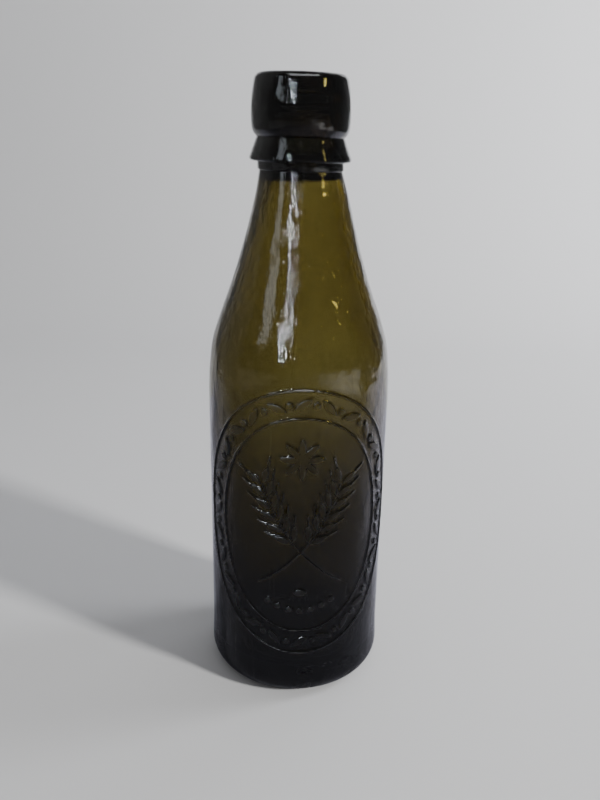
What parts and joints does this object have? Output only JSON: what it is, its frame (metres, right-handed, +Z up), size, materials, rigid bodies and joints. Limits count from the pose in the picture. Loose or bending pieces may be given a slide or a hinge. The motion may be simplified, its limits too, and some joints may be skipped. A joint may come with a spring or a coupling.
{
  "type": "marble stopper bottle",
  "caption": "Tall round bottle of thick dark glass with a sloping shoulder and skirted lip, closed by a loose marble that seals from inside against a ring.",
  "frame": {"origin": "centre of the base's resting ring, on the surface the bottle stands on", "axes": "+Z up the bottle's axis to the mouth; -Y towards the ornamented front"},
  "size_m": [0.075, 0.075, 0.248],
  "materials": {
    "bottle_glass": "glossy, hand-blown, lightly scuffed",
    "seal_rubber": "aged matt rubber",
    "marble_glass": "glossy with fine scuffs"
  },
  "bodies": {
    "bottle": {"bottle_glass": "bottle_glass", "seal_ring": "seal_rubber"},
    "marble": {"marble": "marble_glass"}
  },
  "joints": [
    {"name": "marble_slide", "type": "slide", "parent": "bottle", "child": "marble", "axis": [0, 0, 1], "range_m": [0, 0.0109]}
  ]
}
